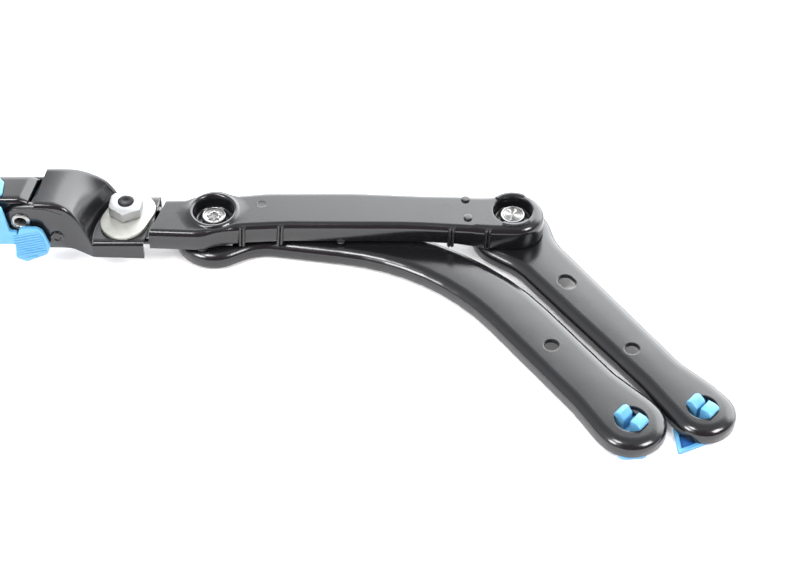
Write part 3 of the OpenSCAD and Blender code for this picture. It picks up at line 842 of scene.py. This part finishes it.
def clamp_bolt():
    head_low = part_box("clamp_stud")[0].z / MM
    head_half = 7.5
    head_high = head_low + 6
    profile = [(0, head_high - 0.5), (5, head_high - 0.5)]
    z = head_high
    while z < NUT_BASE - 1.6:
        profile += [(5.0, z), (4.55, z + 0.5)]
        z += 1.0
    profile += [(4.5, NUT_TOP - 1.4), (3.85, NUT_TOP - 0.9), (3.85, STUD_TOP - 0.35), (3.6, STUD_TOP - 0.1),
                (3.2, STUD_TOP), (1.4, STUD_TOP), (1.2, STUD_TOP - 0.15), (0, STUD_TOP - 0.15)]
    stud = revolve(profile, CLAMP, 64)
    square = rectangle(CLAMP.x - head_half, CLAMP.y - head_half,
                       CLAMP.x + head_half, CLAMP.y + head_half, 1.2)
    stud.join(prism(square, head_low, head_high, 0.5, 1.0))
    stud.move(AT_PIVOTS).make("clamp_bolt", "saddle", "dark_steel", DARK, ["clamp_stud"])


def axle(profile, x, z, count):
    """A solid of revolution whose axis lies along Y, at x and z."""
    turn = Matrix.Translation((x, 0, z)) @ Matrix.Rotation(math.radians(-90), 4, "X")
    return revolve(profile, count=count).move(turn)


EAR_OUT = 13.2
EAR_IN = 10.4
FOLD_R = 4.0
STOP_BACK = 15.9


def cross_pins():
    end = EAR_OUT
    half = [(2.8, 0), (2.8, end + 0.5), (3.1, end + 0.95), (4.3, end + 0.95), (4.8, end + 0.6),
            (4.85, end + 0.1), (4.6, end), (FOLD_R - 0.02, end), (FOLD_R - 0.02, 0)]
    profile = half + [(r, -z) for r, z in reversed(half)][1:-1]
    axle(profile, FOLD.x, FOLD.z, 56).make("fold_pin_tube", "saddle", "pin_steel", PIN, ["fold_pin"])
    head = [(0, 0.3), (1.7, 0.35), (2.1, 0.8), (2.8, 0.95), (3.2, 0.6), (3.3, 0), (2.58, 0)]
    back_head = [(r, STOP_BACK + z) for r, z in head]
    front_head = [(r, -end - z) for r, z in reversed(head)]
    axle(back_head + front_head, REACH - 76.3, 23.3, 48).make(
        "stop_pin_body", "saddle", "black_coat", COAT, ["stop_pin"])


def locating_heads():
    b = Builder()
    for x, y in ((126.4, 7.8), (127.4, -5.4)):
        b.join(revolve([(0, 19.0), (2.0, 19.0), (2.15, 19.2), (2.15, CHANNEL_TOP + 0.4),
                        (2.05, CHANNEL_TOP + 0.7), (1.8, CHANNEL_TOP + 0.84), (1.5, CHANNEL_TOP + 0.86),
                        (0, CHANNEL_TOP + 0.86)], (x, y), 32))
    b.move(AT_PIVOTS).make("locating_rivet_heads", "arm", "black_coat", COAT, ["locating_rivets"])


# ---- saddle

# Each station: front edge (x, y, z), middle (x, z), back edge (x, y, z), lower edge of the flanges.
# x and y are measured from the front pivot.
SADDLE = [
    ((-86.0, -18.0, 43.8), (-84.0, 44.1), (-81.6, 9.8, 44.6), 15.4),
    ((-81.5, -18.0, 43.7), (-79.6, 43.9), (-77.4, 10.2, 44.3), 15.4),
    ((-76.0, -18.0, 43.2), (-74.3, 43.2), (-72.0, 10.9, 43.5), 15.3),
    ((-71.5, -18.1, 41.6), (-69.8, 41.5), (-67.6, 11.8, 42.2), 15.2),
    ((-68.4, -18.4, 38.9), (-66.6, 38.9), (-64.0, 12.5, 40.4), 14.6),
    ((-65.8, -18.8, 35.0), (-64.0, 35.6), (-60.6, 13.1, 38.3), 13.4),
    ((-63.0, -19.5, 29.4), (-61.2, 30.6), (-56.8, 13.7, 35.4), 12.4),
    ((-60.8, -20.3, 24.2), (-59.0, 25.5), (-53.7, 14.1, 32.1), 11.9),
    ((-59.4, -20.9, 21.3), (-57.8, 22.0), (-50.9, 14.3, 27.4), 11.7),
    ((-58.4, -21.0, 20.6), (-57.0, 20.7), (-48.7, 14.4, 22.8), 11.6),
    ((-57.4, -21.0, 20.6), (-55.9, 20.6), (-46.8, 14.5, 20.6), 11.5),
    ((-52.0, -21.0, 20.6), (-48.5, 20.6), (-40.0, 14.5, 20.6), 11.3),
    ((-44.0, -21.0, 20.6), (-40.0, 20.6), (-35.0, 14.5, 20.6), 11.0),
    ((-38.0, -21.0, 20.6), (-35.0, 20.6), (-31.5, 14.5, 20.6), 10.8),
    ((-34.0, -21.0, 20.6), (-31.0, 20.6), (-27.4, 14.5, 20.6), 10.6)]
SADDLE_FOLD = 2.6


def smooth_between(values, t):
    """Catmull-Rom value at parameter t along a list of tuples."""
    last = len(values) - 1
    i = min(int(t), last - 1)
    u = t - i
    p0 = values[max(i - 1, 0)]
    p1 = values[i]
    p2 = values[i + 1]
    p3 = values[min(i + 2, last)]
    return tuple(
        0.5 * (2 * b + (c - a) * u + (2 * a - 5 * b + 4 * c - d) * u * u + (3 * b - a - 3 * c + d) * u ** 3)
        for a, b, c, d in zip(p0, p1, p2, p3))


def saddle_surface():
    """Grid of outer surface points: one row per station, from the front lower edge over to the back."""
    flat = [(*f, *m, *k, low) for f, m, k, low in SADDLE]
    per = 5
    rows = []
    for n in range((len(SADDLE) - 1) * per + 1):
        fx, fy, fz, mx, mz, kx, ky, kz, low = smooth_between(flat, n / per)
        fz, mz, kz = max(fz, CLAMP_TOP), max(mz, CLAMP_TOP), max(kz, CLAMP_TOP)

        def across(v):
            a, m, c = (v - 0.5) * (v - 1) / 0.5, v * (v - 1) / -0.25, v * (v - 0.5) / 0.5
            z = fz * a + mz * m + kz * c
            return Vector((fx * a + mx * m + kx * c, fy + (ky - fy) * v, max(z, CLAMP_TOP)))

        width = ky - fy

        def shoulder(v, y):
            """Flange and fold of one side, from the lower edge up; v is 0 or 1."""
            edge = across(v)
            points = [Vector((edge.x, y, low + (edge.z - SADDLE_FOLD - low) * k / 6)) for k in range(7)]
            for k in range(1, 7):
                a = math.radians(15 * k)
                p = across(abs(v - SADDLE_FOLD * (1 - math.cos(a)) / width))
                points.append(p - Vector((0, 0, SADDLE_FOLD * (1 - math.sin(a)))))
            return points

        flat_part = [across((SADDLE_FOLD + (width - 2 * SADDLE_FOLD) * k / 20) / width) for k in range(1, 20)]
        rows.append(shoulder(0, fy) + flat_part + shoulder(1, ky)[::-1])
    return rows


def offset_rows(rows, distance):
    """The same grid moved inwards along its own normals."""
    out = []
    m, n = len(rows), len(rows[0])
    for i in range(m):
        row = []
        for j in range(n):
            along = rows[min(i + 1, m - 1)][j] - rows[max(i - 1, 0)][j]
            across = rows[i][min(j + 1, n - 1)] - rows[i][max(j - 1, 0)]
            normal = along.cross(across).normalized()
            row.append(rows[i][j] - normal * distance)
        out.append(row)
    return out


def saddle_shell():
    outer = saddle_surface()
    inner = offset_rows(outer, -CHANNEL_SHEET)
    middle = len(outer[0]) // 2
    if inner[0][middle].z > outer[0][middle].z:
        inner = offset_rows(outer, CHANNEL_SHEET)
    b = Builder()
    a = [b.add(row) for row in outer]
    c = [b.add(row) for row in inner]
    b.stack(a, closed=False)
    b.stack(c, closed=False)
    for end in (0, -1):
        b.bridge(a[end], c[end], closed=False)
        b.bridge([row[end] for row in a], [row[end] for row in c], closed=False)
    b.move(AT_PIVOTS)
    fold_x = FOLD.x - REACH
    for near, far, rise, corner in ((-EAR_OUT, -EAR_IN, 8, 7.9), (EAR_IN, EAR_OUT, 5.6, 6)):
        top = FOLD.z + rise
        ear = [(fold_x - 8, top, corner), (fold_x - 8, FOLD.z - 8, corner),
               (fold_x + 6, FOLD.z - 8, 4), (-82.5, 17, 6), (-78, 15.6, 3), (-72, 15.4, 0.5), (-72, 38, 0.5),
               (-80, top - 0.4, 2), (-86.2, top, 1)]
        plate = side_prism(rounded(ear), near, far, 0.35, [((fold_x, FOLD.z), FOLD_R)])
        b.join(plate.move(AT_ARM))
    return b.make("saddle_shell", "saddle", "black_coat", COAT, ["saddle_bracket"], sharp=45)


def side_prism(outline, y0, y1, bevel=0.4, holes=(), spacing=1.2):
    """A plate whose outline is drawn in X and Z, between two places along Y."""
    b = prism(outline, y0, y1, bevel, spacing, holes)
    b.points = [Vector((p.x, p.z, p.y)) for p in b.points]
    return b


# ---- tongue, tail, foot

def tongue():
    top = CLAMP_TOP - CHANNEL_SHEET - 0.05
    bottom = top - 4
    end_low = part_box("tongue_bar")[0].z / MM + 0.4
    end_high = end_low + 2
    front, back, inner_back = -13.2, 8.2, 6.4
    b = Builder()
    bar = rounded([(-60.6, front, 5), (-27, front, 0.8), (-27, back, 0.8), (-60.6, back, 6)])
    b.join(prism(bar, bottom, top, 0.4, 1.0))
    section = [(-30, bottom), (-27, bottom), (-17, end_low), (9.6, end_low), (9.6, end_high),
               (-16, end_high), (-25, top), (-30, top)]
    crank = Builder()
    crank.tube([crank.add([(x, y, z) for x, z in section]) for y in (front, inner_back)])
    b.join(crank)
    x = -31.5
    while x < -24:
        b.join(prism(rectangle(x, back - 3.4, x + 0.55, back, 0.15), top - 0.2, top + 0.45, 0.15, 0.4))
        x += 1.1
    revolve([(0, end_low - 0.35), (2.4, end_low - 0.35), (3.0, end_low - 0.1), (3.2, end_low + 0.3),
             (3.2, 12.3), (0, 12.3)], (-5.5, -14.0), 32).move(AT_PIVOTS).make(
        "tongue_lug", "arm", "raw_steel", BRIGHT)
    edge = rectangle(-56, front, -20, front + 2, 0.5)
    prism(edge, CHANNEL_SKIRT + 0.1, top - 0.9, 0.4, 1.2).move(AT_PIVOTS).make(
        "tongue_edge", "arm", "black_coat", COAT)
    return b.move(AT_PIVOTS).make("tongue_plate", "arm", "raw_steel", RAW, ["tongue_bar"], sharp=30)


def insert_liner():
    top = CHANNEL_TOP - CHANNEL_SHEET
    thick = 1.5
    y0, y1 = -7.6, 9.2
    b = Builder()
    section = [(y0, 13), (y0, top - 1.2), (y0 + 0.35, top - 0.35), (y0 + 1.2, top - 0.02),
               (y1 - 1.2, top - 0.02), (y1 - 0.35, top - 0.35), (y1, top - 1.2), (y1, 13),
               (y1 - thick, 13), (y1 - thick, top - thick), (y0 + thick, top - thick), (y0 + thick, 13)]
    rings = [b.add([(x, y, z) for y, z in section]) for x in (16, 16.4, 132.6, 133)]
    b.tube(rings)
    lug = revolve([(0, 11.45), (1.3, 11.45), (1.8, 11.7), (2.0, 12.0), (2.0, 12.35), (0, 12.35)],
                  (63.8, -10.2), 24)
    lug.move(AT_PIVOTS).make("liner_lug", "arm", "dark_steel", BRIGHT)
    b.join(prism(rounded([(61, -10.4, 0.6), (66.6, -10.4, 0.6), (66.6, -6.2, 0.4), (61, -6.2, 0.4)]),
                 11.45, 13.2, 0.25, 0.8))
    return b.move(AT_PIVOTS).make("channel_liner", "arm", "dark_steel", DARK, ["channel_insert"], sharp=30)


TAIL_TOP = 44.2
TAIL_BOTTOM = 24.0
TAIL_HALF = 9.5
TAIL_SHEET = 2.2
FOOT_PINS = (-6, 6)
CHEEK = 2.5


def tail_section(x, slope, drop, low):
    """Closed U section of the tail; slope slants it across Y and drop lowers its top."""
    r = 2.5
    h = TAIL_HALF
    top = TAIL_TOP - drop
    outer = [(-h, low), (-h, (low + top - r) / 2)]
    outer += [(-h + r * (1 - math.cos(math.radians(a))), top - r + r * math.sin(math.radians(a)))
              for a in range(0, 91, 15)]
    outer += [(h * k / 6 * 0.7, top) for k in range(-5, 6)]
    outer += [(-y, z) for y, z in reversed(outer[:9])]
    s = TAIL_SHEET
    inner = [(h - s, low), (h - s, top - s - 0.6), (h - s - 0.6, top - s),
             (-(h - s - 0.6), top - s), (-(h - s), top - s - 0.6), (-(h - s), low)]
    return [(x + slope * y, y, z) for y, z in outer + inner]


def tail_shell():
    fold_x = FOLD.x - REACH
    low = TAIL_TOP - 3
    start = -14.0 - REACH
    stations = [(start, 0, 0.35), (start + 0.4, 0, 0), (start + 40, 0, 0), (-130, 0, 0), (-104, 0.05, 0),
                (-97, 0.12, 0), (-92.4, 0.22, 0), (-91.8, 0.22, 0.1), (-91.2, 0.22, 0.35), (-88.4, 0.22, 1.6),
                (-87.8, 0.22, 2.0), (-87.3, 0.22, 2.7)]
    b = Builder()
    rings = [b.add(tail_section(x, slope, drop, low)) for x, slope, drop in stations]
    b.tube(rings)
    nose = 9.0
    outline = [(start, TAIL_BOTTOM, 2), (fold_x + nose, TAIL_BOTTOM, nose - 0.5),
               (fold_x + nose, FOLD.z + 7.6, 5), (-92.5, low + 0.02, 0.6), (start, low + 0.02, 0.6)]
    for y0, y1 in ((-TAIL_HALF, -TAIL_HALF + TAIL_SHEET), (TAIL_HALF - TAIL_SHEET, TAIL_HALF)):
        b.join(side_prism(rounded(outline), y0, y1, 0.02,
                          [((fold_x, FOLD.z), 5.05)] + [((x - REACH, FOLD.z), 3.0) for x in FOOT_PINS]))
    return b.move(AT_ARM).make("tail_shell", "foot", "black_coat", COAT, ["tail_channel"])


def foot():
    b = prism(rectangle(-20, -30, 20, 30, 5), 0, 4, 0.6, 1.2, [((0, -19), 4.25), ((0, 19), 4.25)])
    cheek = rounded([(-18, 3, 0.5), (18, 3, 0.5), (13, TAIL_TOP - 4, 6), (-13, TAIL_TOP - 4, 6)])
    end = TAIL_HALF + 0.05 + CHEEK
    for y0 in (end - CHEEK, -end):
        b.join(side_prism(cheek, y0, y0 + CHEEK, 0.4, [((x, FOLD.z), 3.0) for x in FOOT_PINS]))
    b.make("foot_plate", "foot", "black_coat", COAT, ["foot_bracket"])
    pins = Builder()
    for x in FOOT_PINS:
        half = [(0, end + 1.75), (1.8, end + 1.7), (3.6, end + 1.35), (4.6, end + 0.8), (5.0, end + 0.1),
                (5.0, end), (2.98, end), (2.98, 0)]
        pins.join(axle(half + [(r, -z) for r, z in reversed(half)][1:], x, FOLD.z, 40))
    pins.make("foot_rivet_pins", "foot", "black_coat", COAT, ["foot_rivets"])


# ---- blue clips

TRAY_WALL = 2.0
TAB_RIBS = 13
RIB_PITCH = 1.65


def tail_clip():
    wall = 2.4
    front = -17.0
    lift = TAIL_TOP + 0.1
    roof = cad_high.z / MM
    floor_z = TAIL_BOTTOM - 0.2
    b = Builder()
    face = rounded([(-150, floor_z - wall, 1), (-95.4, floor_z - wall, 1), (-95, floor_z + 1, 0.8),
                    (-95, 29.2, 0.8), (-98.6, 29.8, 1), (-101, roof, 1), (-150, roof, 1)])
    b.join(side_prism(face, front, front + wall, 0.5))
    b.join(side_prism(rectangle(-150, floor_z - wall, -106, roof, 1), 10.6, 13.0, 0.5))
    top = rounded([(-150, front, 1), (-106.2, front, 1), (-103.6, -8, 1), (-101.8, -6, 1.5), (-101.8, 3, 1.5),
                   (-104, 5, 1), (-106.2, 13, 1), (-150, 13, 1)])
    b.join(prism(top, lift, roof, 0.5))
    b.join(prism(rectangle(-150, front, -106, 13, 1), floor_z - wall, floor_z, 0.5))
    tab = rounded([(-96.2, 25, 2), (-97.7, 12, 2), (-92.5, 9.1, 2), (-81.8, 14.4, 2.5),
                   (-79.7, 19.8, 2.5), (-82.6, 30.2, 2), (-85.2, 32.2, 1.5), (-93.4, 32.3, 2)])
    b.join(side_prism(tab, front - 0.1, front + wall - 0.4, 0.4))
    rise = math.tan(math.radians(14))
    for k in range(TAB_RIBS):
        z = 11.4 + RIB_PITCH * k
        left, right = -96.6 - 0.1 * k, -81.8 - max(0, k - 5) * 0.55
        if k == 0:
            left, right = -93.0, -86.5
        far = z + (right - left) * rise
        bar = [(left, z), (right, far), (right, far + 0.8), (left, z + 0.8)]
        bar = [(x, min(height, 31.4), 0.3) for x, height in bar]
        if bar[2][1] - bar[1][1] > 0.5 and bar[3][1] - bar[0][1] > 0.5:
            b.join(side_prism(rounded(bar), front - 0.6, front + 0.2, 0.25, (), 0.8))
    return b.move(AT_ARM).make("tail_clip_body", "tail_clip", "blue_plastic", BLUE, ["tail_clip"])


def prong(inner, radius, half, tip, inner_tip):
    """One barbed prong: profile in (distance from the peg's axis, height), swept across."""
    top = LINK_TOP + tip
    profile = [(inner, 2.6, 0.2), (radius - 0.3, 2.6, 0.4), (radius - 0.3, LINK_TOP + 0.15, 0.3),
               (radius + 0.15, LINK_TOP + 0.5, 0.3), (radius + 0.05, LINK_TOP + 1.5, 0.5),
               (radius - 1.8, top, 0.6), (radius - 3.4, top, 0.4), (inner, LINK_TOP + inner_tip, 0.3)]
    return side_prism(rounded(profile, 4), -half, half, 0.3, (), 0.7)


def peg(centre, radius, gap, angle, tips):
    b = Builder()
    b.join(revolve([(0, 1.0), (radius - 0.4, 1.0), (radius - 0.2, 1.2), (radius - 0.2, 3.2),
                    (radius - 0.5, 3.5), (0, 3.5)], count=48))
    for side, (tip, inner_tip) in zip((1, -1), tips):
        part = prong(gap / 2, radius, 3.5, tip, inner_tip)
        part.points = [Vector((p.x * side, p.y, p.z)) for p in part.points]
        b.join(part)
    turn = Matrix.Translation((centre.x, centre.y, 0)) @ Matrix.Rotation(angle, 4, "Z")
    return b.move(turn)


def tray(corners):
    """The wall of a shallow tray, just inside the outline."""
    b = Builder()
    wall = TRAY_WALL
    top = LINK_BOTTOM - 0.08
    levels = [(0.3, 0.02), (0, 0.3), (0, top - 0.25), (0.25, top), (wall - 0.25, top), (wall, top - 0.25),
              (wall, 0.3), (wall - 0.3, 0.02)]
    rings = [b.add([(x, y, z) for x, y in rounded(inset(corners, d))]) for d, z in levels]
    b.stack(rings + rings[:1])
    return b


# The tray floor takes the darker blue copy: painted shade for the shadow under the link.
def tray_floor(corners, name, body):
    outline = rounded(inset(corners, TRAY_WALL - 0.05))
    prism(outline, 0.05, 0.6, 0.15, 1.5).move(AT_PIVOTS).make(name, body, "blue_plastic", PAINTED_SHADE_BLUE)


def link_clip(side, corners, centre, radius, gap, tips):
    body = side + "_link"
    tray_floor(corners, side + "_clip_painted_shade_floor", body)
    b = tray(corners)
    b.join(peg(centre, radius, gap, math.radians(-40), tips))
    b.move(AT_PIVOTS).make(side + "_clip_body", body, "blue_plastic", BLUE, [body + "_clip"])


def link_clips():
    front = [(188, -128, 2), (196, -142.4, 3), (207, -141.6, 3), (214, -130, 3), (200, -108, 3),
             (190, -114, 3)]
    link_clip("front", front, FRONT_PEG, FRONT_PEG_R, 3.4, ((3.0, 2.8), (3.3, 0.6)))
    rear = [(222.7, -139.6, 1), (237, -133, 3), (247, -117, 4), (226, -88, 3), (206, -95, 2),
            (221.5, -121.5, 2)]
    link_clip("rear", rear, REAR_PEG, REAR_PEG_R, 1.6, ((2.8, 2.6), (3.1, 0.8)))


# ---- carried-over nodes

def finish_cad_nodes():
    looks = {"tail_bushes": DARK, "front_pivot_bush": BRONZE, "rear_pivot_bush": BRONZE,
             "front_pivot_washer": ZINC, "rear_pivot_washer": ZINC,
             "front_rivet_collar": RAW, "rear_rivet_collar": RAW}
    for name, mat in looks.items():
        for s in frame["nodes"][name].material_slots:
            s.material = mat


# ---- stage

LIGHT_DISTANCE = 1.5


def floor():
    mesh = bpy.data.meshes.new("floor")
    half = 4.0
    corners = [(-half, -half, 0), (half, -half, 0), (half, half, 0), (-half, half, 0)]
    mesh.from_pydata(corners, [], [(0, 1, 2, 3)])
    mesh.materials.append(FLOOR)
    obj = put_object("floor", mesh)
    obj.location.z = -0.0002


def blend(tree, factor, low, high):
    """Mixes from the plain colour low to the colour socket high."""
    node = tree.nodes.new("ShaderNodeMix")
    node.data_type = "RGBA"
    feed(tree, node, {"Factor": factor, "A": (*low, 1), "B": high})
    return node.outputs["Result"]


def softbox(name, direction, size, power):
    """A rectangular light that faces the object from the given direction."""
    data = bpy.data.lights.new(name, "AREA")
    data.shape = "RECTANGLE"
    data.size, data.size_y = size
    data.energy = power
    away = Vector(direction).normalized()
    obj = put_object(name, data)
    obj.location = Vector(((cad_low.x + cad_high.x) / 2 + 0.05, 0, 0)) + away * LIGHT_DISTANCE
    obj.rotation_euler = (-away).to_track_quat("-Z", "Y").to_euler()


def lights():
    softbox("left_softbox", (-0.58, -0.46, 0.66), (0.46, 0.52), 17)
    softbox("right_softbox", (0.6, -0.4, 0.69), (0.46, 0.52), 17)
    softbox("overhead_softbox", (-0.27, -0.24, 0.93), (0.32, 0.3), 8)
    world = bpy.data.worlds.new("studio")
    bpy.context.scene.world = world
    world.use_nodes = True
    tree = world.node_tree
    co = tree.nodes.new("ShaderNodeTexCoord").outputs["Generated"]
    toward = add_node(tree, "ShaderNodeSeparateXYZ", {"Vector": co}).outputs
    # Bright backdrop behind the table: its top edge rises to the right
    over_edge = tree.nodes.new("ShaderNodeVectorMath")
    over_edge.operation = "DOT_PRODUCT"
    tree.links.new(co, over_edge.inputs[0])
    over_edge.inputs[1].default_value = (-0.446, -0.695, 0.719)
    white = (0.97, 0.985, 1.0)
    falloff = [(-0.02, 1.0), (0.0, 1.0), (0.026, 0.58), (0.052, 0.31), (0.087, 0.2), (0.16, 0.13),
               (0.48, 0.085)]
    first, last = falloff[0][0], falloff[-1][0]
    backdrop = ramp(tree, spread(tree, over_edge.outputs["Value"], 0.0, 1.0, first, last),
                    [((e - first) / (last - first), tuple(c * v for c in white)) for e, v in falloff])
    # The sides are dim, and the camera's side is dark and a little warm
    sides = blend(tree, spread(tree, toward["Y"], 0.0, 1.0, 0.1, 0.4), (0.1, 0.1, 0.103), backdrop)
    room = blend(tree, spread(tree, toward["Y"], 0.0, 1.0, -0.45, -0.05), (0.035, 0.022, 0.025), sides)
    # A pale wall stands off to the left
    walls = blend(tree, spread(tree, toward["X"], 0.0, 1.0, -0.7, -0.35), (0.15, 0.15, 0.155), room)
    feed(tree, tree.nodes["Background"], {"Color": walls, "Strength": 7.3})


def camera():
    data = bpy.data.cameras.new("camera")
    data.lens = 100
    data.sensor_width = 36
    data.dof.use_dof = False
    obj = put_object("camera", data)
    obj.location = (0.28344, -0.7953, 0.7985)
    obj.rotation_euler = (math.radians(44), 0, 0)
    bpy.context.scene.camera = obj


channel_shell()
links()
star_rivet()
turned_rivet()
oval_washer()
hex_nut()
clamp_bolt()
cross_pins()
locating_heads()
saddle_shell()
tongue()
insert_liner()
tail_shell()
foot()
tail_clip()
link_clips()
finish_cad_nodes()
floor()
lights()
camera()
bpy.context.scene.view_settings.view_transform = "Standard"
